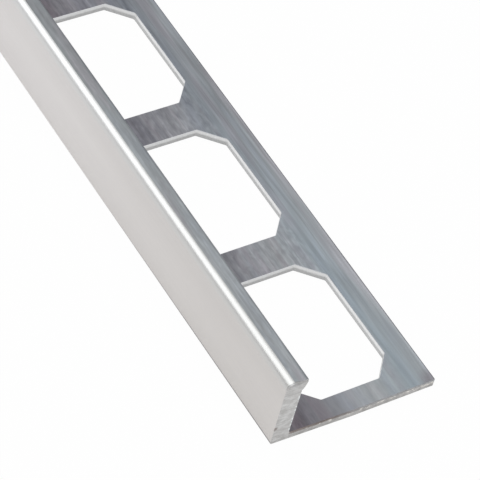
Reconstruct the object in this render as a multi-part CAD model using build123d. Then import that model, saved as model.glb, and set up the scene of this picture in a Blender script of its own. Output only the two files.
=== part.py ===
"""Straight tile edge trim: one aluminium extrusion with a punched anchoring leg.

X runs along the length, Y across from the visible face of the wall to the free edge
of the leg, and Z up. The trim lies on its leg: the origin is the centre of the
underside, and the cut end that shows in the photograph is at +X. Sizes are in mm.
"""

import os

from build123d import *

# Stock
STOCK_LENGTH = 2500.0
TRIM_HEIGHT = 11.0
PROFILE_WIDTH = 24.0

# Wall: the part that stays in sight beside the tile
WALL_THICKNESS = 2.4
TOP_EDGE_RADIUS = 1.0
HEEL_RADIUS = 0.25

# Lip: the top of the wall reaches over the joint, with a slanted underside
LIP_REACH = 0.8
LIP_FACE_HEIGHT = 0.5
LIP_SLANT_HEIGHT = 1.0
LIP_EDGE_RADIUS = 0.1

# Anchoring leg: the part that is bedded in adhesive under the tile
LEG_THICKNESS = 1.2
LEG_EDGE_RADIUS = 0.15
ROOT_RADIUS = 0.3

# Punched holes: rectangles with their corners cut off, in one row that starts at the +X end
HOLE_LENGTH = 19.8
HOLE_CORNER_CUT = 3.0
BRIDGE_WIDTH = 5.2
LAND_BESIDE_WALL = 3.4
LAND_BESIDE_FREE_EDGE = 3.8
LAND_AT_CUT_END = 3.0
LEAST_LAND_AT_FAR_END = 2.0

OUTER_FACE_Y = -PROFILE_WIDTH / 2
FREE_EDGE_Y = PROFILE_WIDTH / 2
INNER_FACE_Y = OUTER_FACE_Y + WALL_THICKNESS
LIP_Y = INNER_FACE_Y + LIP_REACH
LIP_FACE_Z = TRIM_HEIGHT - LIP_FACE_HEIGHT
LIP_ROOT_Z = LIP_FACE_Z - LIP_SLANT_HEIGHT

HOLE_NEAR_Y = INNER_FACE_Y + LAND_BESIDE_WALL
HOLE_FAR_Y = FREE_EDGE_Y - LAND_BESIDE_FREE_EDGE
HOLE_PITCH = HOLE_LENGTH + BRIDGE_WIDTH
ROW_ROOM = STOCK_LENGTH - LAND_AT_CUT_END - LEAST_LAND_AT_FAR_END
HOLE_COUNT = int((ROW_ROOM + BRIDGE_WIDTH) / HOLE_PITCH)
ROW_LENGTH = HOLE_COUNT * HOLE_PITCH - BRIDGE_WIDTH
ROW_MIDDLE_X = STOCK_LENGTH / 2 - LAND_AT_CUT_END - ROW_LENGTH / 2
ROW_MIDDLE_Y = (HOLE_NEAR_Y + HOLE_FAR_Y) / 2


def profile_section():
    """Cross-section of the extrusion, drawn at the end of the stock at -X."""
    corners = [
        ((OUTER_FACE_Y, 0), HEEL_RADIUS),
        ((FREE_EDGE_Y, 0), LEG_EDGE_RADIUS),
        ((FREE_EDGE_Y, LEG_THICKNESS), LEG_EDGE_RADIUS),
        ((INNER_FACE_Y, LEG_THICKNESS), ROOT_RADIUS),
        ((INNER_FACE_Y, LIP_ROOT_Z), ROOT_RADIUS),
        ((LIP_Y, LIP_FACE_Z), LIP_EDGE_RADIUS),
        ((LIP_Y, TRIM_HEIGHT), LIP_EDGE_RADIUS),
        ((OUTER_FACE_Y, TRIM_HEIGHT), TOP_EDGE_RADIUS),
    ]
    points = [point for point, radius in corners]
    radii = [radius for point, radius in corners]
    with BuildSketch(Plane.YZ.offset(-STOCK_LENGTH / 2)) as section:
        with BuildLine():
            FilletPolyline(*points, radius=radii, close=True)
        make_face()
    return section.sketch


def hole_outline():
    """One hole, centred on its own middle, in the XY plane."""
    with BuildSketch() as outline:
        Rectangle(HOLE_LENGTH, HOLE_FAR_Y - HOLE_NEAR_Y)
        chamfer(outline.vertices(), HOLE_CORNER_CUT)
    return outline.sketch


def edge_trim_profile():
    """The whole trim: the extruded section with the row of holes punched out of its leg."""
    bar = extrude(profile_section(), amount=STOCK_LENGTH, dir=(1, 0, 0))
    row = Pos(ROW_MIDDLE_X, ROW_MIDDLE_Y, 0) * GridLocations(HOLE_PITCH, 0, HOLE_COUNT, 1)
    slugs = extrude(Sketch() + row * hole_outline(), amount=LEG_THICKNESS)
    return bar - slugs


os.makedirs("parts", exist_ok=True)
export_step(edge_trim_profile(), "parts/edge_trim_profile.step")
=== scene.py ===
"""Finish of the tile edge trim: mill aluminium with drawn lines, a punched leg and sawn ends."""
import math
import random

import bmesh
import bpy
from mathutils import Matrix, Vector, geometry, kdtree, noise


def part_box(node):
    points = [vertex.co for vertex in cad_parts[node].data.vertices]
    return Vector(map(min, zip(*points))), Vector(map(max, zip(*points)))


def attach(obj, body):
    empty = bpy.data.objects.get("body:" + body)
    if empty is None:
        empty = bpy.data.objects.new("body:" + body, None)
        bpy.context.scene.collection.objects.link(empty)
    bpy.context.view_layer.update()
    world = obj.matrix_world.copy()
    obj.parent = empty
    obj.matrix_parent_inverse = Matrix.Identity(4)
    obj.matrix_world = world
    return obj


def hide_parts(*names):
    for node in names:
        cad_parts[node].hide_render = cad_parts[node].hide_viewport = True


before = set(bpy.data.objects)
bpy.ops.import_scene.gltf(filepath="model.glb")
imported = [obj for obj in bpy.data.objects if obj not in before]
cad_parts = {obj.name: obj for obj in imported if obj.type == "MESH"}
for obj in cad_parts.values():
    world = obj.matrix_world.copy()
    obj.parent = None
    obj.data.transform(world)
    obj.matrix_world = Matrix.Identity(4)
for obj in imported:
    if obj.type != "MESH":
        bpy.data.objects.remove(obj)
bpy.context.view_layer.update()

# Sizes in millimetres; the overall ones come from the frame
MM = 0.001
NODE = "edge_trim_profile"
box_low, box_high = (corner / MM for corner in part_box(NODE))
END_X = box_high.x
OUTER_FACE_Y = box_low.y
FREE_EDGE_Y = box_high.y
TOP_Z = box_high.z

WALL_THICKNESS = 2.4
TOP_EDGE_RADIUS = 1.0
TOP_EDGE_SPREAD = 1.34
HEEL_RADIUS = 0.25
LIP_REACH = 0.8
LIP_FACE_HEIGHT = 0.5
LIP_SLANT_HEIGHT = 1.0
LIP_EDGE_RADIUS = 0.1
LEG_THICKNESS = 1.2
LEG_EDGE_RADIUS = 0.15
ROOT_RADIUS = 0.3

HOLE_LENGTH = 19.8
HOLE_CORNER_CUT = 3.0
WORN_CUT_ALONG, WORN_CUT_ACROSS = 3.1, 2.75
HOLE_CORNER_RADIUS = 0.35
BRIDGE_WIDTH = 5.2
LAND_BESIDE_WALL = 3.4
LAND_BESIDE_FREE_EDGE = 3.8
LAND_AT_CUT_END = 3.0
LEAST_LAND_AT_FAR_END = 2.0

INNER_FACE_Y = OUTER_FACE_Y + WALL_THICKNESS
LIP_Y = INNER_FACE_Y + LIP_REACH
LIP_FACE_Z = TOP_Z - LIP_FACE_HEIGHT
LIP_ROOT_Z = LIP_FACE_Z - LIP_SLANT_HEIGHT
HOLE_NEAR_Y = INNER_FACE_Y + LAND_BESIDE_WALL
HOLE_FAR_Y = FREE_EDGE_Y - LAND_BESIDE_FREE_EDGE
HOLE_MIDDLE_Y = (HOLE_NEAR_Y + HOLE_FAR_Y) / 2
HOLE_STRAIGHT_X = HOLE_LENGTH / 2 - HOLE_CORNER_CUT
HOLE_STRAIGHT_YS = (HOLE_NEAR_Y + HOLE_CORNER_CUT, HOLE_FAR_Y - HOLE_CORNER_CUT)
HOLE_PITCH = HOLE_LENGTH + BRIDGE_WIDTH
ROW_ROOM = 2 * END_X - LAND_AT_CUT_END - LEAST_LAND_AT_FAR_END
HOLE_COUNT = int((ROW_ROOM + BRIDGE_WIDTH) / HOLE_PITCH)

# Punching: the metal rolls in at the top, shears cleanly, then breaks out wider below
ROLLED_IN = 0.05
ROLL_DEPTH = 0.08
ROLL_MIDDLE_SHARES = (0.45, 0.33)
SHEAR_DEPTH = 0.55
SHEAR_VARIES = 0.05
BREAK_OUT = 0.02
BREAK_MIDDLE_SHARE = 0.6
BREAK_MIDDLE_DROP = 0.12

# Sawn ends: the rim is worn rounder on top, the leg's tip is rounded and the cut slants back to the wall
RIM_WIDTH = 0.06
RIM_STEPS = 3
TOP_RIM_WIDTH = 0.45
TOP_RIM_RISE = (TOP_Z - 0.9, TOP_Z - 0.2)
TOP_RIM_OFF_LIP = (0.6, 1.8)
UNDER_RIM_WIDTH = 0.01
UNDER_RIM_FALL = (LEG_THICKNESS / 2, 0.2)
CUT_SLANT_LENGTH = 11.5
CUT_SLANT_AT_WALL = 0.31
TIP_CORNER_RADIUS = 0.20
WORN_AT_LIP = 0.30
WORN_FROM_Y = OUTER_FACE_Y + 1.0

# Saw marks: arcs about the blade's centre, which wander, with a finer tear over them
BLADE_CENTRE = (OUTER_FACE_Y + 6.0, -118.0)
SAW_DEPTH = 0.06
SAW_DEPTH_ON_LEG = 0.02
SAW_DEPTH_FALL = (INNER_FACE_Y, INNER_FACE_Y + 1.0)
SAW_MARK_SPACING = 0.70
SAW_WANDER = 0.9
SAW_WANDER_FINENESS = (0.35, 0.6)
SAW_TEAR_FINENESS = (1.1, 5.0)
SAW_MARK_SHARE, SAW_TEAR_SHARE = 0.55, 0.45

# Facets: the grid of a sawn face is loosened, and keeps clear of its rim, by shares of its spacing
SAW_GRID = 0.11
SAW_GRID_PLAY = 0.3
SAW_GRID_CLEARANCE = 0.6
SMALL_ARC_STEPS = 4
PLACE_DIGITS = 4
INSIDE_ONLY, MERGE_DISTANCE = 1, 1e-5

SATIN, MILL, PUNCHED, SAWN = range(4)
SHARP_ANGLE = math.radians(28)
RIM_X = END_X - RIM_WIDTH


class MeshDraft:
    """Collects faces by the places of their corners, so that faces that meet share them."""

    def __init__(self):
        self.index = {}
        self.points = []
        self.faces = []
        self.finishes = []

    def corner(self, point):
        """The number of the point at this place, which is added if it is new."""
        key = tuple(round(value, PLACE_DIGITS) for value in point)
        if key not in self.index:
            self.index[key] = len(self.points)
            self.points.append(key)
        return self.index[key]

    def face(self, points, finish):
        """Adds a face without the corners that fall together, unless too few are left."""
        loop = []
        for point in points:
            number = self.corner(point)
            if not loop or number != loop[-1]:
                loop.append(number)
        if loop[0] == loop[-1]:
            loop.pop()
        if len(loop) > 2:
            self.faces.append(loop)
            self.finishes.append(finish)

    def band(self, first, second, finish):
        """Adds the faces between two rings that have as many points."""
        for (near, near_on), (far, far_on) in zip(neighbours(first), neighbours(second)):
            self.face([near, near_on, far_on, far], finish)

    def mesh(self, name):
        """The mesh in metres, with a material's number on each face."""
        mesh = bpy.data.meshes.new(name)
        mesh.from_pydata([Vector(point) * MM for point in self.points], [], self.faces)
        mesh.polygons.foreach_set("material_index", self.finishes)
        mesh.update()
        return mesh


def neighbours(loop):
    """Each point of a loop with the one after it."""
    return zip(loop, loop[1:] + loop[:1])


def rounded_corner(before, corner, after, radius, steps):
    """Points along the arc that rounds a corner of an outline."""
    corner = Vector(corner)
    back = (Vector(before) - corner).normalized()
    on = (Vector(after) - corner).normalized()
    half = back.angle(on) / 2
    reach = radius / math.tan(half)
    centre = corner + (back + on).normalized() * (radius / math.sin(half))
    first = corner + back * reach - centre
    last = corner + on * reach - centre
    turn = first.angle_signed(last)
    return [tuple(centre + Matrix.Rotation(-turn * k / steps, 2) @ first) for k in range(steps + 1)]


def wall_outline():
    """(y, z) points from the leg's upper side, up and over the wall, to the leg's underside.

    Each comes with the finish of the run that follows it. The table below gives each corner with
    its radius, the steps of its arc, the finish of the arc and the finish of the run after it.
    """
    corners = [
        ((INNER_FACE_Y, LEG_THICKNESS), ROOT_RADIUS, 4, MILL, MILL),
        ((INNER_FACE_Y, LIP_ROOT_Z), ROOT_RADIUS, 3, MILL, MILL),
        ((LIP_Y, LIP_FACE_Z), LIP_EDGE_RADIUS, 3, MILL, MILL),
        ((LIP_Y, TOP_Z), LIP_EDGE_RADIUS, 3, MILL, MILL),
        ((OUTER_FACE_Y, TOP_Z), TOP_EDGE_RADIUS, 14, SATIN, SATIN),
        ((OUTER_FACE_Y, 0), HEEL_RADIUS, 6, SATIN, MILL),
    ]
    path = [(FREE_EDGE_Y, LEG_THICKNESS)] + [row[0] for row in corners] + [(FREE_EDGE_Y, 0)]
    outline = []
    for number, (corner, radius, steps, on_arc, after_arc) in enumerate(corners):
        arc = rounded_corner(path[number], corner, path[number + 2], radius, steps)
        if corner == (OUTER_FACE_Y, TOP_Z):
            arc = [(OUTER_FACE_Y + (y - OUTER_FACE_Y) * TOP_EDGE_SPREAD, z) for y, z in arc]
        outline += [(point, on_arc) for point in arc[:-1]] + [(arc[-1], after_arc)]
    return outline


def edge_outline():
    """(y, z) points round the leg's free edge, from its underside to its upper side."""
    path = [
        (OUTER_FACE_Y, 0), (FREE_EDGE_Y, 0), (FREE_EDGE_Y, LEG_THICKNESS), (INNER_FACE_Y, LEG_THICKNESS)]
    under = rounded_corner(*path[:3], LEG_EDGE_RADIUS, SMALL_ARC_STEPS)
    over = rounded_corner(*path[1:], LEG_EDGE_RADIUS, SMALL_ARC_STEPS)
    return [(point, MILL) for point in under + over]


def hole_corners(outset):
    """The hole's eight corners about its middle, with its outline moved outwards.

    The first two belong to the corner where the punch is worn a little out of true.
    """
    half_length = HOLE_LENGTH / 2 + outset
    half_width = (HOLE_FAR_Y - HOLE_NEAR_Y) / 2 + outset
    spare = outset * (2 - math.sqrt(2))
    cut = HOLE_CORNER_CUT + spare
    return [
        (half_length, half_width - WORN_CUT_ACROSS - spare),
        (half_length - WORN_CUT_ALONG - spare, half_width),
        (cut - half_length, half_width), (-half_length, half_width - cut),
        (-half_length, cut - half_width), (cut - half_length, -half_width),
        (half_length - cut, -half_width), (half_length, cut - half_width),
    ]


def hole_outline(outset):
    """Eight lists of points, one for each rounded corner of the hole."""
    corners = hole_corners(outset)
    befores = corners[-1:] + corners[:-1]
    afters = corners[1:] + corners[:1]
    return [
        rounded_corner(before, corner, after, HOLE_CORNER_RADIUS + outset, SMALL_ARC_STEPS)
        for before, corner, after in zip(befores, corners, afters)
    ]


WALL_RUN = wall_outline()
EDGE_RUN = edge_outline()
TOP_INNER_Y, TOP_OUTER_Y = WALL_RUN[0][0][0], EDGE_RUN[-1][0][0]
UNDER_INNER_Y, UNDER_OUTER_Y = WALL_RUN[-1][0][0], EDGE_RUN[0][0][0]


def hole_middle(number):
    """The middle of a hole, counted from the cut end at +X."""
    return END_X - LAND_AT_CUT_END - HOLE_LENGTH / 2 - number * HOLE_PITCH


def stations():
    """The places along the length where the borders of the holes' cells have points."""
    places = []
    for number in range(HOLE_COUNT):
        middle_x = hole_middle(number)
        places += [middle_x - HOLE_STRAIGHT_X, middle_x + HOLE_STRAIGHT_X]
        if number:
            places.append(middle_x + HOLE_PITCH / 2)
    return sorted(places + [-RIM_X, RIM_X])


def split_run(first, second):
    """The points between two points of the section, close enough for the sawn face."""
    low, high = sorted((first, second))
    steps = math.ceil(math.dist(low, high) / SAW_GRID)
    inner = [tuple(a + (b - a) * k / steps for a, b in zip(low, high)) for k in range(1, steps)]
    return inner if low == first else inner[::-1]


def split_at_ends(points):
    """Adds corners along the edges of a face that lie on the rim of a sawn end."""
    whole = []
    for point, after in neighbours(points):
        whole.append(point)
        if abs(point[0]) == RIM_X and point[0] == after[0]:
            whole += [(point[0], *place) for place in split_run(tuple(point[1:]), tuple(after[1:]))]
    return whole


def cell_rim(middle_x, inner_y, outer_y):
    """The points on the border of a hole's cell that its eight corners join, and the cell's corners."""
    right, left = middle_x + HOLE_PITCH / 2, middle_x - HOLE_PITCH / 2
    if middle_x == hole_middle(0):
        right = RIM_X
    if middle_x == hole_middle(HOLE_COUNT - 1):
        left = -RIM_X
    low, high = HOLE_STRAIGHT_YS
    hole_right, hole_left = middle_x + HOLE_STRAIGHT_X, middle_x - HOLE_STRAIGHT_X
    rim = [
        (right, high), (hole_right, outer_y), (hole_left, outer_y), (left, high),
        (left, low), (hole_left, inner_y), (hole_right, inner_y), (right, low),
    ]
    between = {0: (right, outer_y), 2: (left, outer_y), 4: (left, inner_y), 6: (right, inner_y)}
    return rim, between


def add_land(draft, middle_x, z, inner_y, outer_y, outset):
    """The flat metal round one hole, on one side of the leg."""
    rim, between = cell_rim(middle_x, inner_y, outer_y)
    arcs = [
        [(middle_x + x, HOLE_MIDDLE_Y + y, z) for x, y in arc] for arc in hole_outline(outset)
    ]
    for k in range(len(arcs)):
        on = (k + 1) % len(arcs)
        fan = [(*rim[k], z)] + arcs[k]
        panel = [(*rim[k], z), arcs[k][-1], arcs[on][0], (*rim[on], z)]
        if k in between:
            panel.append((*between[k], z))
        for points in (fan, panel):
            draft.face(split_at_ends(points), MILL)


def punch_depths(number):
    """(outset, z) of each ring down a punched edge; the break starts at a slightly different height."""
    draw = random.Random(number)
    shear_z = LEG_THICKNESS - SHEAR_DEPTH + draw.uniform(-SHEAR_VARIES, SHEAR_VARIES)
    return [
        (ROLLED_IN, LEG_THICKNESS),
        (ROLLED_IN * ROLL_MIDDLE_SHARES[0], LEG_THICKNESS - ROLL_DEPTH * ROLL_MIDDLE_SHARES[1]),
        (0.0, LEG_THICKNESS - ROLL_DEPTH),
        (0.0, shear_z),
        (BREAK_OUT * BREAK_MIDDLE_SHARE, shear_z - BREAK_MIDDLE_DROP),
        (BREAK_OUT, 0.0),
    ]


def add_hole_wall(draft, middle_x, number):
    """The punched edge of one hole, ring by ring from the top."""
    rings = []
    for outset, z in punch_depths(number):
        ring = [point for arc in hole_outline(outset) for point in arc]
        rings.append([(middle_x + x, HOLE_MIDDLE_Y + y, z) for x, y in ring])
    for upper, lower in zip(rings, rings[1:]):
        draft.band(upper, lower, PUNCHED)


def add_run(draft, run, places):
    """Sweeps a part of the section along the length."""
    for start, end in zip(places, places[1:]):
        for (first, finish), (second, _) in zip(run, run[1:]):
            strip = [(start, *first), (end, *first), (end, *second), (start, *second)]
            draft.face(split_at_ends(strip), finish)


def section_loop():
    """(y, z) points round the whole section, as close as the sawn face needs them."""
    under = [(y, 0.0) for y in HOLE_STRAIGHT_YS]
    over = [(y, LEG_THICKNESS) for y in reversed(HOLE_STRAIGHT_YS)]
    corners = [point for point, _ in WALL_RUN] + under + [point for point, _ in EDGE_RUN] + over
    loop = []
    for point, after in neighbours(corners):
        loop += [point, *split_run(point, after)]
    return loop


def smooth(value, low, high):
    """0 below low, 1 above high and an even rise between them; low may be the larger one, for a fall."""
    share = min(max((value - low) / (high - low), 0.0), 1.0)
    return share * share * (3 - 2 * share)


def rim_width(y, z):
    """How far the rounding of the sawn edge reaches in from the section's outline."""
    on_top = smooth(z, *TOP_RIM_RISE) * smooth(LIP_Y - y, *TOP_RIM_OFF_LIP)
    under = smooth(z, *UNDER_RIM_FALL)
    return RIM_WIDTH + (TOP_RIM_WIDTH - RIM_WIDTH) * on_top + (UNDER_RIM_WIDTH - RIM_WIDTH) * under


def cut_recess(y, z):
    """How far the cut lies inside the end of the stock at this place of the section."""
    rise = max(0.0, 1 - (y - OUTER_FACE_Y) / CUT_SLANT_LENGTH)
    past = min(max(0.0, y - (FREE_EDGE_Y - TIP_CORNER_RADIUS)), TIP_CORNER_RADIUS)
    corner = TIP_CORNER_RADIUS - math.sqrt(TIP_CORNER_RADIUS ** 2 - past ** 2)
    lip = smooth(y, WORN_FROM_Y, LIP_Y) * smooth(z, LIP_ROOT_Z, TOP_Z)
    return CUT_SLANT_AT_WALL * rise + corner + WORN_AT_LIP * lip


def moved_inwards(loop, share):
    """The loop with each point moved into the metal, square to its neighbours, by a share of the rim."""
    area = sum(a[0] * b[1] - b[0] * a[1] for a, b in neighbours(loop))
    side = math.copysign(1, area)
    moved = []
    for number, (y, z) in enumerate(loop):
        before, after = loop[number - 1], loop[(number + 1) % len(loop)]
        along = Vector((after[0] - before[0], after[1] - before[1])).normalized()
        amount = rim_width(y, z) * share
        place = (y - side * along.y * amount, z + side * along.x * amount)
        moved.append(tuple(round(value, PLACE_DIGITS) for value in place))
    return moved


def drift(y, z, fineness, seed):
    """Smooth noise from -1 to 1 over a sawn face."""
    return noise.noise(Vector((y * fineness[0], z * fineness[1], seed)))


def saw_depth(y, z, end):
    """How far the sawn face lies inside the cut: blade marks with a finer tear over them."""
    away = math.dist((y, z), BLADE_CENTRE)
    wander = drift(y, z, SAW_WANDER_FINENESS, 5.0 * end)
    marks = 0.5 + 0.5 * math.sin(math.tau * (away / SAW_MARK_SPACING + SAW_WANDER * wander))
    tear = 0.5 + 0.5 * drift(y, z, SAW_TEAR_FINENESS, 11.0 * end)
    depth = SAW_DEPTH + (SAW_DEPTH_ON_LEG - SAW_DEPTH) * smooth(y, *SAW_DEPTH_FALL)
    return depth * (SAW_MARK_SHARE * marks * marks + SAW_TEAR_SHARE * tear)


def sawn_place(y, z, end):
    """The point of the sawn face at this place of the section."""
    return (end * (END_X - cut_recess(y, z) - saw_depth(y, z, end)), y, z)


def rim_rings(loop, end):
    """Loops of points over the rounded edge, from the section's outline to the sawn face."""
    rings = []
    for step in range(RIM_STEPS + 1):
        turn = math.pi / 2 * step / RIM_STEPS
        share = 1 - math.cos(turn)
        ring = []
        for (y, z), (inner_y, inner_z) in zip(loop, moved_inwards(loop, share)):
            back = rim_width(y, z) * (1 - math.sin(turn)) + saw_depth(inner_y, inner_z, end) * share
            ring.append((end * (END_X - cut_recess(y, z) - back), inner_y, inner_z))
        rings.append(ring)
    rings[0] = [(end * RIM_X, y, z) for y, z in loop]
    rings[-1] = [sawn_place(y, z, end) for x, y, z in rings[-1]]
    return rings


def sawn_filling(rim, end):
    """(y, z) points on a loosened grid over the section, clear of the sawn face's rim."""
    nearby = kdtree.KDTree(len(rim))
    for number, point in enumerate(rim):
        nearby.insert(point.to_3d(), number)
    nearby.balance()
    draw = random.Random(end)
    filling = []
    for column in range(1, round((FREE_EDGE_Y - OUTER_FACE_Y) / SAW_GRID)):
        height = TOP_Z if column * SAW_GRID < WALL_THICKNESS + LIP_REACH else LEG_THICKNESS
        for row in range(1, round(height / SAW_GRID)):
            y = OUTER_FACE_Y + (column + draw.uniform(-SAW_GRID_PLAY, SAW_GRID_PLAY)) * SAW_GRID
            z = (row + draw.uniform(-SAW_GRID_PLAY, SAW_GRID_PLAY)) * SAW_GRID
            if nearby.find((y, z, 0.0))[2] > SAW_GRID * SAW_GRID_CLEARANCE:
                filling.append(Vector((round(y, PLACE_DIGITS), round(z, PLACE_DIGITS))))
    return filling


def add_sawn_end(draft, end):
    """The rounded rim and the sawn face at one end; end is 1 at +X and -1 at -X."""
    rings = rim_rings(section_loop(), end)
    for outer, inner in zip(rings, rings[1:]):
        draft.band(outer, inner, SAWN)
    rim = [Vector((y, z)) for x, y, z in rings[-1]]
    outline = list(range(len(rim)))
    filled = geometry.delaunay_2d_cdt(
        rim + sawn_filling(rim, end), [], [outline], INSIDE_ONLY, MERGE_DISTANCE)
    places = [
        sawn_place(round(point.x, PLACE_DIGITS), round(point.y, PLACE_DIGITS), end) for point in filled[0]
    ]
    for triangle in filled[2]:
        draft.face([places[k] for k in triangle], SAWN)


def seat_rims(draft):
    """Moves the ends of the lengthwise faces back to where the rounded rims start."""
    for number, (x, y, z) in enumerate(draft.points):
        if abs(x) == round(RIM_X, PLACE_DIGITS):
            back = cut_recess(y, z) + rim_width(y, z)
            draft.points[number] = (math.copysign(END_X - back, x), y, z)


def trim_mesh():
    """The whole trim as one closed mesh."""
    draft = MeshDraft()
    places = stations()
    add_run(draft, WALL_RUN, places)
    add_run(draft, EDGE_RUN, places)
    for number in range(HOLE_COUNT):
        middle_x = hole_middle(number)
        add_land(draft, middle_x, LEG_THICKNESS, TOP_INNER_Y, TOP_OUTER_Y, ROLLED_IN)
        add_land(draft, middle_x, 0.0, UNDER_INNER_Y, UNDER_OUTER_Y, BREAK_OUT)
        add_hole_wall(draft, middle_x, number)
    for end in (1, -1):
        add_sawn_end(draft, end)
    seat_rims(draft)
    return draft.mesh("edge_trim")


def finish_mesh(mesh):
    """Turns all faces outwards and keeps the sharp edges and the rims of the holes sharp."""
    work = bmesh.new()
    work.from_mesh(mesh)
    bmesh.ops.recalc_face_normals(work, faces=work.faces)
    for face in work.faces:
        face.smooth = True
    for edge in work.edges:
        on_hole_rim = sum(face.material_index == PUNCHED for face in edge.link_faces) == 1
        edge.smooth = not on_hole_rim and edge.calc_face_angle(0.0) < SHARP_ANGLE
    work.to_mesh(mesh)
    work.free()


trim = bpy.data.objects.new("edge_trim", trim_mesh())
bpy.context.scene.collection.objects.link(trim)
finish_mesh(trim.data)
even_normals = trim.modifiers.new("even_normals", "WEIGHTED_NORMAL")
even_normals.keep_sharp = True
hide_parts(NODE)
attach(trim, "root")

# The sockets of a colour mix go by number, as other kinds of mix share their names
MIX_FACTOR, MIX_FIRST, MIX_SECOND, MIX_RESULT = 0, 6, 7, 2
NOISE_RANGE = (0.3, 0.7)


class Shader:
    """A material's node tree, with short ways to add and join nodes.

    A value is a number, a colour of three numbers or the socket that gives it. A mask is 0 to 1.
    A shade is a colour that multiplies the one under it. x, y and z are a point's place in metres.
    """

    def __init__(self, name):
        self.material = bpy.data.materials.new(name)
        self.material.use_nodes = True
        self.tree = self.material.node_tree
        self.surface = self.tree.nodes["Principled BSDF"]
        self.place = self.tree.nodes.new("ShaderNodeTexCoord").outputs["Object"]
        self.x, self.y, self.z = self.node("ShaderNodeSeparateXYZ", {"Vector": self.place}).outputs

    def feed(self, socket, value):
        """Links an input to the socket that gives its value, or sets it."""
        if isinstance(value, bpy.types.NodeSocket):
            self.tree.links.new(value, socket)
        else:
            socket.default_value = value

    def node(self, kind, inputs=None, **settings):
        """A new node with these settings and inputs."""
        made = self.tree.nodes.new(kind)
        for key, value in settings.items():
            setattr(made, key, value)
        for key, value in (inputs or {}).items():
            self.feed(made.inputs[key], value)
        return made

    def math(self, operation, first, second=0.0, third=0.0):
        """The result of arithmetic on up to three values."""
        return self.node("ShaderNodeMath", {0: first, 1: second, 2: third}, operation=operation).outputs[0]

    def grain(self, along, across, up, detail=3.0, roughness=0.55, shift=0.0, waver=0.0):
        """Noise with features of these sizes in millimetres along X, Y and Z; waver bends them."""
        scale = [1 / (size * MM) for size in (along, across, up)]
        placed = self.node(
            "ShaderNodeMapping", {"Vector": self.place, "Scale": scale, "Location": (shift,) * 3})
        made = self.node("ShaderNodeTexNoise", {
            "Vector": placed.outputs[0], "Scale": 1.0, "Detail": detail, "Roughness": roughness,
            "Distortion": waver})
        return made.outputs[0]

    def ramp(self, value, stops):
        """Greys or colours by value: stops are (place, grey or colour)."""
        made = self.node("ShaderNodeValToRGB", {"Fac": value})
        elements = made.color_ramp.elements
        while len(elements) < len(stops):
            elements.new(0.5)
        for element, (place, colour) in zip(elements, stops):
            element.position = place
            element.color = (*(grey(colour) if isinstance(colour, float) else colour), 1.0)
        return made.outputs[0]

    def spread(self, value, low, high, values=NOISE_RANGE):
        """A grey or colour that goes from low to high over this range of the value."""
        return self.ramp(value, [(values[0], low), (values[1], high)])

    def ease(self, value, low, high):
        """0 below low and 1 above high, in millimetres; low may be the larger one, for a fall."""
        made = self.node(
            "ShaderNodeMapRange", {"Value": value, "From Min": low * MM, "From Max": high * MM},
            interpolation_type="SMOOTHSTEP")
        return made.outputs[0]

    def near_end(self, reach):
        """1 at a cut end of the trim, falling to 0 this far from it."""
        return self.ease(self.math("ABSOLUTE", self.x), END_X - reach, END_X)

    def across_leg(self):
        """0 at the wall's inner face, rising evenly to 1 at the leg's free edge."""
        span = {"Value": self.y, "From Min": INNER_FACE_Y * MM, "From Max": FREE_EDGE_Y * MM}
        return self.node("ShaderNodeMapRange", span).outputs[0]

    def away(self, place, spot):
        """How far a place lies from a spot that is given in millimetres."""
        ends = {0: place, 1: [value * MM for value in spot]}
        return self.node("ShaderNodeVectorMath", ends, operation="DISTANCE").outputs["Value"]

    def mix(self, mask, first, second, blend="MIX"):
        """The first colour where the mask is 0, and the second one or the blend of both where it is 1."""
        inputs = {MIX_FACTOR: mask, MIX_FIRST: opaque(first), MIX_SECOND: opaque(second)}
        return self.node("ShaderNodeMix", inputs, data_type="RGBA", blend_type=blend).outputs[MIX_RESULT]

    def shaded(self, mask, shade):
        """The shade where the mask is 1, and none where it is 0."""
        return self.mix(mask, PLAIN, shade)

    def tinted(self, colour, *shades):
        """The colour multiplied by each shade in turn."""
        for shade in shades:
            colour = self.mix(1.0, colour, shade, "MULTIPLY")
        return colour

    def masked(self, *masks):
        """The product of several masks."""
        product = masks[0]
        for mask in masks[1:]:
            product = self.math("MULTIPLY", product, mask)
        return product

    def bump(self, heights, distance):
        """Relief from a list of (height, strength), one over the other."""
        normal = None
        for height, strength in heights:
            inputs = {"Height": height, "Strength": strength, "Distance": distance * MM}
            if normal is not None:
                inputs["Normal"] = normal
            normal = self.node("ShaderNodeBump", inputs).outputs[0]
        self.feed(self.surface.inputs["Normal"], normal)

    def finish(self, colour, roughness):
        """Makes the surface bare metal of this colour, held at or below white, and this roughness."""
        unmixed = {MIX_FACTOR: 0.0, MIX_FIRST: colour}
        held = self.node("ShaderNodeMix", unmixed, data_type="RGBA", clamp_result=True)
        self.feed(self.surface.inputs["Metallic"], 1.0)
        self.feed(self.surface.inputs["Base Color"], held.outputs[MIX_RESULT])
        self.feed(self.surface.inputs["Roughness"], roughness)
        return self.material


def grey(level):
    """A colour without hue."""
    return (level, level, level)


def opaque(colour):
    """The four numbers of a colour, or the socket that gives it."""
    return colour if isinstance(colour, bpy.types.NodeSocket) else (*colour, 1.0)


# Each zone below runs from where its shade starts to where it is full, in millimetres
PLAIN = grey(1.0)
END_FADE = 75.0

# The visible face, painted darker towards the cut ends, with a painted dark line of shade along its heel
# there
SATIN_TINTS = ((0.812, 0.784, 0.777), (0.836, 0.811, 0.802))
SATIN_END_PAINTED_SHADE = (0.905, 0.90, 0.885)
UPPER_ZONE, UPPER_SHADE = (TOP_Z / 2, TOP_Z - 1.5), grey(0.965)
CROWN_ZONE, CROWN_SHADE = (TOP_Z - 0.9, TOP_Z - 0.4), (0.985, 1.02, 1.03)
HEEL_ZONE, HEEL_PAINTED_SHADE = (0.50, 0.15), (0.16, 0.15, 0.17)
HEEL_REACH = 55.0


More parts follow.
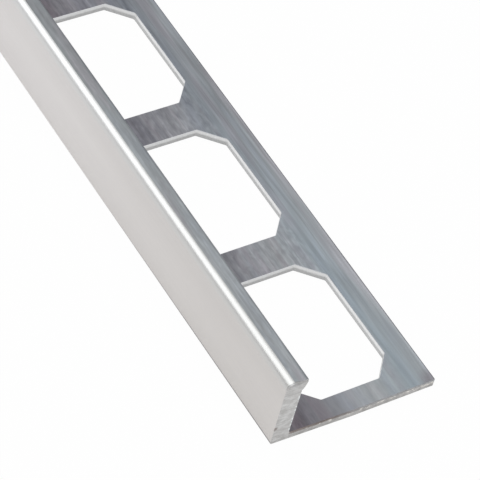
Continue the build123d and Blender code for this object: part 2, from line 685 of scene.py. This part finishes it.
def satin_face():
    """The visible face and its rounded edge: fine, even and slightly warm, with painted shade that darkens
    it towards the cut ends and lays a dark line along the heel there.
    """
    shader = Shader("satin_aluminium")
    cloud = shader.grain(60.0, 9.0, 9.0, detail=2.0)
    drawn = shader.grain(22.0, 0.16, 0.16, detail=4.0, roughness=0.6, shift=3.0)
    tint = shader.spread(cloud, *SATIN_TINTS, values=(0.35, 0.65))
    line = shader.spread(drawn, 0.95, 1.0)
    # Painted shade: the face darker towards the cut ends
    fade = shader.ramp(shader.near_end(END_FADE), [(0.0, PLAIN), (1.0, SATIN_END_PAINTED_SHADE)])
    upper = shader.shaded(shader.ease(shader.z, *UPPER_ZONE), UPPER_SHADE)
    crown = shader.shaded(shader.ease(shader.z, *CROWN_ZONE), CROWN_SHADE)
    # Painted shade: a dark line along the heel near the cut ends
    at_heel = shader.masked(shader.ease(shader.z, *HEEL_ZONE), shader.near_end(HEEL_REACH))
    heel = shader.shaded(at_heel, HEEL_PAINTED_SHADE)
    shader.bump([(drawn, 0.08)], 0.02)
    rough = shader.spread(drawn, 0.32, 0.38)
    return shader.finish(shader.tinted(tint, line, fade, upper, crown, heel), rough)


# The mill finish; the leg's painted shades are by place, from the wall's inner face (0) to the free edge
# (1)
MILL_TINTS = [(0.36, (0.525, 0.558, 0.60)), (0.5, (0.535, 0.565, 0.59)), (0.64, (0.56, 0.56, 0.595))]
LEG_PAINTED_SHADES_AT_END = [
    (0.10, (0.45, 0.395, 0.42)), (0.30, (0.66, 0.63, 0.65)), (0.44, (0.88, 0.87, 0.90)),
    (0.62, (1.10, 1.10, 1.09)), (0.85, (0.94, 1.02, 1.06)), (1.0, (1.10, 1.10, 1.10))]
LEG_PAINTED_SHADES_FAR = [
    (0.30, (0.40, 0.365, 0.385)), (0.48, (0.665, 0.62, 0.65)), (0.66, (0.665, 0.64, 0.67)),
    (0.80, (0.62, 0.63, 0.67)), (1.0, (0.86, 0.86, 0.87))]
LEG_TOP_RISE = (LEG_THICKNESS / 2, LEG_THICKNESS - 0.1)
LEG_TOP_FALL = (LEG_THICKNESS + 2.0, LEG_THICKNESS + 0.3)
# Painted light: the top lighter near the cut end, and the hidden sides lighter
TOP_PAINTED_SHADE_AT_END, TOP_PAINTED_SHADE_FAR = grey(0.99), grey(0.77)
HIDDEN_SIDES_PAINTED_LIGHT = grey(1.22)

# Painted shade as a dark line beside the lip's edge; a painted highlight, then a painted dark line, along
# the free edge
LIP_LINE_RISE = (LIP_Y - 0.35, LIP_Y - 0.12)
LIP_LINE_HEIGHT = (TOP_Z - 0.4, TOP_Z - 0.2)
LIP_PAINTED_SHADE = (0.66, 0.66, 0.67)
EDGE_LIGHT_ZONE, EDGE_PAINTED_HIGHLIGHT = (FREE_EDGE_Y - 0.6, FREE_EDGE_Y - 0.35), grey(1.10)
EDGE_DARK_ZONE, EDGE_PAINTED_DARK_LINE = (FREE_EDGE_Y - 0.25, FREE_EDGE_Y - 0.12), (0.46, 0.45, 0.47)
TIP = (END_X, FREE_EDGE_Y, LEG_THICKNESS)
# Darker round the leg's tip
TIP_DARK_ZONE, TIP_DARK_SHADE = (2.6, 0.7), (0.76, 0.70, 0.72)

BEYOND_HOLES = (HOLE_FAR_Y - 0.8, HOLE_FAR_Y + 0.8)
CALM_REACH = 30.0
CALM_OFF_WALL = (INNER_FACE_Y + 1.5, INNER_FACE_Y + 5.5)
CALM_SHARE = 0.6
CALM_STREAKS, CALM_BLOTS = grey(0.96), grey(0.985)
BLOT_SHADES = ((0.83, 0.825, 0.84), (1.12, 1.12, 1.11))


def on_leg_top(shader):
    """1 on the leg's upper side, 0 elsewhere."""
    return shader.masked(shader.ease(shader.z, *LEG_TOP_RISE), shader.ease(shader.z, *LEG_TOP_FALL))


def leg_shade(shader):
    """Painted shade: dark and purplish on the leg beside the wall and lighter towards its edge; the leg and
    the top painted lighter near the cut end; the hidden sides painted lighter.
    """
    near_end = shader.near_end(END_FADE)
    across = shader.across_leg()
    # Painted shade beside the wall and painted light near the cut end
    band = shader.mix(near_end, shader.ramp(across, LEG_PAINTED_SHADES_FAR), shader.ramp(across, LEG_PAINTED_SHADES_AT_END))
    top = shader.mix(near_end, TOP_PAINTED_SHADE_FAR, TOP_PAINTED_SHADE_AT_END)
    elsewhere = shader.mix(shader.ease(shader.z, LIP_ROOT_Z, LIP_FACE_Z), HIDDEN_SIDES_PAINTED_LIGHT, top)
    return shader.mix(on_leg_top(shader), elsewhere, band)


def painted_edge_lines_and_tip(shader):
    """A painted shade line beside the lip's edge, a painted highlight and then a painted dark line at the
    leg's free edge, and darker round its tip.
    """
    # Painted shade as a dark line beside the lip's edge
    on_top = shader.masked(
        shader.ease(shader.y, *LIP_LINE_RISE), shader.ease(shader.z, *LIP_LINE_HEIGHT))
    lip_line = shader.shaded(on_top, LIP_PAINTED_SHADE)
    # A painted highlight and then a painted dark line along the leg's free edge
    light = shader.shaded(shader.ease(shader.y, *EDGE_LIGHT_ZONE), EDGE_PAINTED_HIGHLIGHT)
    dark = shader.shaded(shader.ease(shader.y, *EDGE_DARK_ZONE), EDGE_PAINTED_DARK_LINE)
    # Darker round the leg's tip
    from_tip = shader.away(shader.place, TIP)
    darker_at_tip = shader.shaded(shader.ease(from_tip, *TIP_DARK_ZONE), TIP_DARK_SHADE)
    return shader.tinted(lip_line, light, dark, darker_at_tip)


def mill_finish():
    """The leg, the top and the inside of the wall: soft drawn lines, blotched where the leg was punched."""
    shader = Shader("mill_aluminium")
    wide = shader.grain(18.0, 1.4, 1.4, detail=2.0, roughness=0.5)
    streak = shader.grain(13.0, 0.42, 0.42, detail=2.0, roughness=0.5, shift=9.0, waver=0.6)
    fine = shader.grain(1.7, 0.32, 0.32, detail=1.0, roughness=0.5, shift=5.0, waver=0.6)
    bold = shader.grain(9.0, 0.42, 0.42, detail=2.0, roughness=0.5, shift=17.0, waver=0.7)
    blot = shader.grain(1.7, 0.70, 0.70, detail=2.0, roughness=0.5, shift=14.0, waver=0.5)
    hue = shader.grain(16.0, 1.8, 1.8, detail=2.0, shift=11.0)
    tint = shader.ramp(hue, MILL_TINTS)
    soft = shader.spread(wide, 0.91, 1.045, values=(0.32, 0.68))
    line = shader.spread(streak, 0.88, 1.09)
    thin = shader.spread(fine, 0.91, 1.075)
    thick = shader.spread(bold, 0.86, 1.13)
    thin = shader.mix(shader.ease(shader.y, *BEYOND_HOLES), thin, thick)
    off_wall = shader.ease(shader.y, *CALM_OFF_WALL)
    calm = shader.math("MULTIPLY", shader.masked(shader.near_end(CALM_REACH), off_wall), CALM_SHARE)
    streaks = shader.mix(calm, shader.tinted(soft, line, thin), CALM_STREAKS)
    among_holes = shader.masked(shader.ease(shader.y, *reversed(BEYOND_HOLES)), on_leg_top(shader))
    blots = shader.mix(calm, shader.spread(blot, *BLOT_SHADES), CALM_BLOTS)
    blotched = shader.shaded(among_holes, blots)
    colour = shader.tinted(tint, leg_shade(shader), painted_edge_lines_and_tip(shader), streaks, blotched)
    rough = shader.spread(wide, 0.285, 0.33)
    tangent = shader.node("ShaderNodeTangent", direction_type="RADIAL", axis="X").outputs[0]
    shader.feed(shader.surface.inputs["Anisotropic"], 0.5)
    shader.feed(shader.surface.inputs["Tangent"], tangent)
    shader.bump([(streak, 0.035)], 0.03)
    return shader.finish(colour, rough)


# The punched edges; the line between the sheared and the torn band strays, and its sharpness is per mm
SHEAR_LINE_STRAYS = 0.34
SHEAR_LINE_SHARPNESS = 3.0
ROLLED_ZONE, ROLLED_SHADE = (LEG_THICKNESS - 0.12, LEG_THICKNESS - 0.03), (0.96, 0.97, 0.99)
CROSSWISE_SHADE = grey(0.82)


def punched_edge():
    """The holes' edges: a bright sheared band above a dull, torn one, with a ragged line between."""
    shader = Shader("punched_aluminium")
    ragged = shader.grain(0.9, 0.9, 3.0, detail=4.0, roughness=0.7)
    tear = shader.grain(0.25, 0.25, 0.18, detail=4.0, roughness=0.7, shift=2.0)
    drag = shader.grain(0.12, 0.12, 2.5, detail=3.0, shift=8.0)
    lowest = LEG_THICKNESS - SHEAR_DEPTH - SHEAR_LINE_STRAYS / 2
    level = shader.math("MULTIPLY_ADD", ragged, SHEAR_LINE_STRAYS * MM, lowest * MM)
    over = shader.math("SUBTRACT", shader.z, level)
    sheared = shader.math("MULTIPLY_ADD", over, SHEAR_LINE_SHARPNESS / MM, 0.5)
    sheared = shader.node("ShaderNodeClamp", {"Value": sheared}).outputs[0]
    torn = shader.spread(tear, 0.62, 0.78)
    bright = shader.spread(drag, 0.92, 1.0)
    rolled = shader.shaded(shader.ease(shader.z, *ROLLED_ZONE), ROLLED_SHADE)
    normal = shader.node("ShaderNodeNewGeometry").outputs["Normal"]
    facing = shader.node("ShaderNodeSeparateXYZ", {"Vector": normal}).outputs["X"]
    crosswise = shader.shaded(shader.math("ABSOLUTE", facing), CROSSWISE_SHADE)
    colour = shader.tinted(shader.mix(sheared, torn, bright), rolled, crosswise)
    rough = shader.ramp(sheared, [(0.0, 0.60), (1.0, 0.32)])
    shader.bump([(tear, 0.4), (drag, 0.10)], 0.03)
    return shader.finish(colour, rough)


# The sawn end of the leg; its list of painted shades is by place, from the wall (0) to the free edge (1)
SAWN_TINTS = ((0.61, 0.60, 0.59), (0.79, 0.785, 0.78))
LEG_END_FROM = (INNER_FACE_Y - 0.1, INNER_FACE_Y + 0.3)
LEG_END_BELOW = (LEG_THICKNESS + 1.0, LEG_THICKNESS + 0.3)
LEG_END_PAINTED_SHADES = [
    (0.0, (0.40, 0.34, 0.32)), (0.30, (0.38, 0.33, 0.32)),
    (0.48, (0.61, 0.61, 0.63)), (1.0, (0.67, 0.69, 0.72))]
LEG_END_LOWER_PAINTED_SHADE = (0.83, 0.825, 0.82)
LEG_END_UPPER_ZONE = (LEG_THICKNESS - 0.30, LEG_THICKNESS)
LEG_END_STRAYS = 0.5
BURR_RISE = (LEG_THICKNESS - 0.85, LEG_THICKNESS - 0.60)
BURR_FALL = (LEG_THICKNESS - 0.15, LEG_THICKNESS - 0.35)
BURR_SPECKS = (0.56, 0.66)
BURR_MORE_OUTWARDS = 0.10
BURR_MORE_AT_TIP = 0.035
TIP_ZONE = (FREE_EDGE_Y - 2.0, FREE_EDGE_Y - 0.6)
# Specks of burr painted as bright glints
BURR_GLINT_SHADE = (1.28, 1.25, 1.20)

# The sawn end of the wall, with painted shade on its top and painted glints along its inner edge; the stain
# is at the right end alone
WALL_CROWN_ZONE, WALL_CROWN_PAINTED_SHADE = (TOP_Z - 0.50, TOP_Z - 0.25), (0.75, 0.75, 0.755)
# Painted glints in ragged spots along the wall's inner edge
RAGGED_RISE = (INNER_FACE_Y - 0.28, INNER_FACE_Y - 0.08)
RAGGED_FALL = (INNER_FACE_Y + 0.3, INNER_FACE_Y + 0.1)
RAGGED_ABOVE = (LEG_THICKNESS + 0.2, LEG_THICKNESS + 0.8)
RAGGED_BELOW = (LIP_ROOT_Z, LIP_ROOT_Z - 0.8)
RAGGED_SPECKS = (0.48, 0.58)
RAGGED_PAINTED_GLINTS = (1.65, 1.80, 1.83)
STAIN_PLACE = (0.0, OUTER_FACE_Y + 0.1, 2.9)
STAIN_ZONE, STAIN_SHADE = (0.45, 0.15), (0.55, 0.50, 0.48)
RIGHT_HALF = (0.0, 1.0)


def leg_end_shade(shader, speck):
    """The sawn end of the leg: painted shade, darker along its top edge and darker, browner beside the
    wall, with specks of burr painted as glints towards its top.
    """
    on_leg = shader.masked(shader.ease(shader.y, *LEG_END_FROM), shader.ease(shader.z, *LEG_END_BELOW))
    across = shader.across_leg()
    strayed = shader.math("MULTIPLY_ADD", speck, LEG_END_STRAYS * MM, shader.z)
    upper = shader.ease(strayed, *LEG_END_UPPER_ZONE)
    # Painted shade: lighter low down, darker along the top edge and beside the wall
    shade = shader.mix(upper, LEG_END_LOWER_PAINTED_SHADE, shader.ramp(across, LEG_END_PAINTED_SHADES))
    # Specks of burr painted as bright glints
    burr = shader.math("MULTIPLY_ADD", across, BURR_MORE_OUTWARDS, speck)
    burr = shader.math("MULTIPLY_ADD", shader.ease(shader.y, *TIP_ZONE), BURR_MORE_AT_TIP, burr)
    burr = shader.masked(
        shader.spread(burr, 0.0, 1.0, values=BURR_SPECKS),
        shader.ease(shader.z, *BURR_RISE), shader.ease(shader.z, *BURR_FALL))
    return shader.shaded(on_leg, shader.mix(burr, shade, BURR_GLINT_SHADE))


def wall_end_shade(shader, speck):
    """The sawn end of the wall: painted shade on top, painted glints in ragged spots inside, stained at its
    outer edge.
    """
    # Painted shade darkening the top of the wall's cut
    crown = shader.shaded(shader.ease(shader.z, *WALL_CROWN_ZONE), WALL_CROWN_PAINTED_SHADE)
    # Painted glints in ragged spots along the wall's inner edge
    ragged = shader.masked(
        shader.spread(speck, 0.0, 1.0, values=RAGGED_SPECKS),
        shader.ease(shader.y, *RAGGED_RISE), shader.ease(shader.y, *RAGGED_FALL),
        shader.ease(shader.z, *RAGGED_ABOVE), shader.ease(shader.z, *RAGGED_BELOW))
    ragged = shader.shaded(ragged, RAGGED_PAINTED_GLINTS)
    on_section = shader.node("ShaderNodeCombineXYZ", {"Y": shader.y, "Z": shader.z}).outputs[0]
    from_stain = shader.away(on_section, STAIN_PLACE)
    stained = shader.masked(shader.ease(from_stain, *STAIN_ZONE), shader.ease(shader.x, *RIGHT_HALF))
    return shader.tinted(crown, ragged, shader.shaded(stained, STAIN_SHADE))


def sawn_end():
    """The cut ends: dull metal with the blade's finer scratches."""
    shader = Shader("sawn_aluminium")
    scratch = shader.grain(0.5, 2.4, 0.10, detail=4.0, roughness=0.65)
    patch = shader.grain(1.0, 1.1, 0.7, detail=3.0, shift=4.0)
    speck = shader.grain(0.7, 0.55, 0.4, detail=4.0, roughness=0.7, shift=6.0)
    tint = shader.spread(patch, *SAWN_TINTS, values=(0.35, 0.65))
    line = shader.spread(scratch, 0.78, 1.0)
    colour = shader.tinted(tint, line, leg_end_shade(shader, speck), wall_end_shade(shader, speck))
    rough = shader.spread(scratch, 0.50, 0.38)
    shader.bump([(scratch, 0.35)], 0.03)
    return shader.finish(colour, rough)


for made in (satin_face(), mill_finish(), punched_edge(), sawn_end()):
    trim.data.materials.append(made)

# Camera, from the straight edges of the trim in the photograph; its clipping distances are in metres
SENSOR_WIDTH = 36.0
LENS = 209.017
LOOK_AZIMUTH, LOOK_ELEVATION, LOOK_ROLL = 47.656, 47.500, 15.354
LOOK_DISTANCE = 356.177
LOOK_AIM = (END_X - 29.866, OUTER_FACE_Y + 13.420, 0.0)
CLIP_NEAR, CLIP_FAR = 0.01, 50.0


def turned_axes(azimuth, elevation, roll):
    """The camera's right, up and back directions."""
    a, e, r = (math.radians(angle) for angle in (azimuth, elevation, roll))
    back = Vector((math.sin(a) * math.cos(e), -math.cos(a) * math.cos(e), math.sin(e)))
    level = Vector((math.cos(a), math.sin(a), 0.0))
    up = back.cross(level)
    right = level * math.cos(r) + up * math.sin(r)
    return right, back.cross(right), back


def add_camera():
    """The scene's camera, which looks at the cut end at +X as in the photograph."""
    data = bpy.data.cameras.new("camera")
    camera = bpy.data.objects.new("camera", data)
    bpy.context.scene.collection.objects.link(camera)
    data.sensor_width = SENSOR_WIDTH
    data.lens = LENS
    data.clip_start, data.clip_end = CLIP_NEAR, CLIP_FAR
    right, up, back = turned_axes(LOOK_AZIMUTH, LOOK_ELEVATION, LOOK_ROLL)
    camera.matrix_world = Matrix((right, up, back)).transposed().to_4x4()
    camera.location = (Vector(LOOK_AIM) + back * LOOK_DISTANCE) * MM
    bpy.context.scene.camera = camera


# Studio, in metres: a white floor, a sky with a white card on the camera's side, and a long soft box
WHITE = (1.0, 1.0, 1.0, 1.0)
FLOOR_SIDE = 12.0
FLOOR_Z = -0.00002
FLOOR_SEEN = 0.975
FLOOR_MIRRORED = 0.45
FLOOR_COLOUR = (0.80, 0.80, 0.80, 1.0)
SKY_LEVEL = 0.42
CARD_LEVEL = 0.85
CARD_SIDE = Vector((0.6, -0.8, 0.0))
CARD_TOP_FADE = (0.66, 0.58)
CARD_SIDE_FADE = (-0.5, -0.1)
BOX_MIDDLE, BOX_AIM = (-0.4, -0.12, 2.0), (-0.4, 0.0, 0.0)
BOX_SIZE = (7.0, 1.66)
BOX_LEVEL, BOX_COLOUR = 1.24, (0.975, 0.995, 1.0)


def add_floor():
    """A matt floor that the camera sees as white and the metal mirrors as grey."""
    mesh = bpy.data.meshes.new("floor")
    half = FLOOR_SIDE / 2
    corners = [(x * half, y * half, FLOOR_Z) for x, y in ((-1, -1), (1, -1), (1, 1), (-1, 1))]
    mesh.from_pydata(corners, [], [(0, 1, 2, 3)])
    floor = bpy.data.objects.new("floor", mesh)
    bpy.context.scene.collection.objects.link(floor)
    shader = Shader("white_floor")
    path = shader.node("ShaderNodeLightPath").outputs
    mirrored = shader.math("MAXIMUM", path["Is Glossy Ray"], path["Is Transmission Ray"])
    mirrored = shader.math("MULTIPLY", mirrored, FLOOR_MIRRORED)
    seen = shader.math("MULTIPLY", path["Is Camera Ray"], FLOOR_SEEN)
    share = shader.math("MAXIMUM", mirrored, seen)
    matt = shader.node("ShaderNodeBsdfDiffuse", {"Color": FLOOR_COLOUR})
    white = shader.node("ShaderNodeEmission", {"Color": WHITE, "Strength": 1.0})
    both = shader.node("ShaderNodeMixShader", {0: share, 1: matt.outputs[0], 2: white.outputs[0]})
    shader.tree.nodes.remove(shader.surface)
    shader.feed(shader.tree.nodes["Material Output"].inputs["Surface"], both.outputs[0])
    mesh.materials.append(shader.material)


def add_sky():
    """An even sky, white towards the camera, with a white card low on the camera's side."""
    world = bpy.data.worlds.new("studio")
    world.use_nodes = True
    bpy.context.scene.world = world
    tree = world.node_tree
    join = tree.links.new

    def ease(value, low, high, bottom=0.0, top=1.0):
        """Bottom below low, top above high and an even change between them."""
        made = tree.nodes.new("ShaderNodeMapRange")
        made.interpolation_type = "SMOOTHSTEP"
        for name, number in (("From Min", low), ("From Max", high), ("To Min", bottom), ("To Max", top)):
            made.inputs[name].default_value = number
        join(value, made.inputs["Value"])
        return made.outputs[0]

    direction = tree.nodes.new("ShaderNodeTexCoord").outputs["Generated"]
    height = tree.nodes.new("ShaderNodeSeparateXYZ")
    join(direction, height.inputs[0])
    side = tree.nodes.new("ShaderNodeVectorMath")
    side.operation = "DOT_PRODUCT"
    side.inputs[1].default_value = CARD_SIDE
    join(direction, side.inputs[0])
    card = tree.nodes.new("ShaderNodeMath")
    card.operation = "MULTIPLY"
    join(ease(height.outputs["Z"], *CARD_TOP_FADE), card.inputs[0])
    join(ease(side.outputs["Value"], *CARD_SIDE_FADE), card.inputs[1])
    studio = ease(card.outputs[0], 0.0, 1.0, SKY_LEVEL, CARD_LEVEL)
    path = tree.nodes.new("ShaderNodeLightPath")
    level = tree.nodes.new("ShaderNodeMapRange")
    level.inputs["To Max"].default_value = 1.0
    join(studio, level.inputs["To Min"])
    join(path.outputs["Is Camera Ray"], level.inputs["Value"])
    sky = tree.nodes["Background"]
    sky.inputs["Color"].default_value = WHITE
    join(level.outputs[0], sky.inputs["Strength"])


def add_soft_box(name, middle, size, aim, level, colour):
    """A rectangular lamp as bright as a surface of this level, which faces a point."""
    data = bpy.data.lights.new(name, "AREA")
    data.shape = "RECTANGLE"
    data.size, data.size_y = size
    data.energy = level * math.pi * size[0] * size[1]
    data.color = colour
    lamp = bpy.data.objects.new(name, data)
    bpy.context.scene.collection.objects.link(lamp)
    back = (Vector(middle) - Vector(aim)).normalized()
    right = Vector((1.0, 0.0, 0.0))
    up = back.cross(right).normalized()
    lamp.matrix_world = Matrix((up.cross(back), up, back)).transposed().to_4x4()
    lamp.location = middle


add_camera()
add_floor()
add_sky()
add_soft_box("overhead_box", BOX_MIDDLE, BOX_SIZE, BOX_AIM, BOX_LEVEL, BOX_COLOUR)
bpy.context.scene.view_settings.view_transform = "Standard"
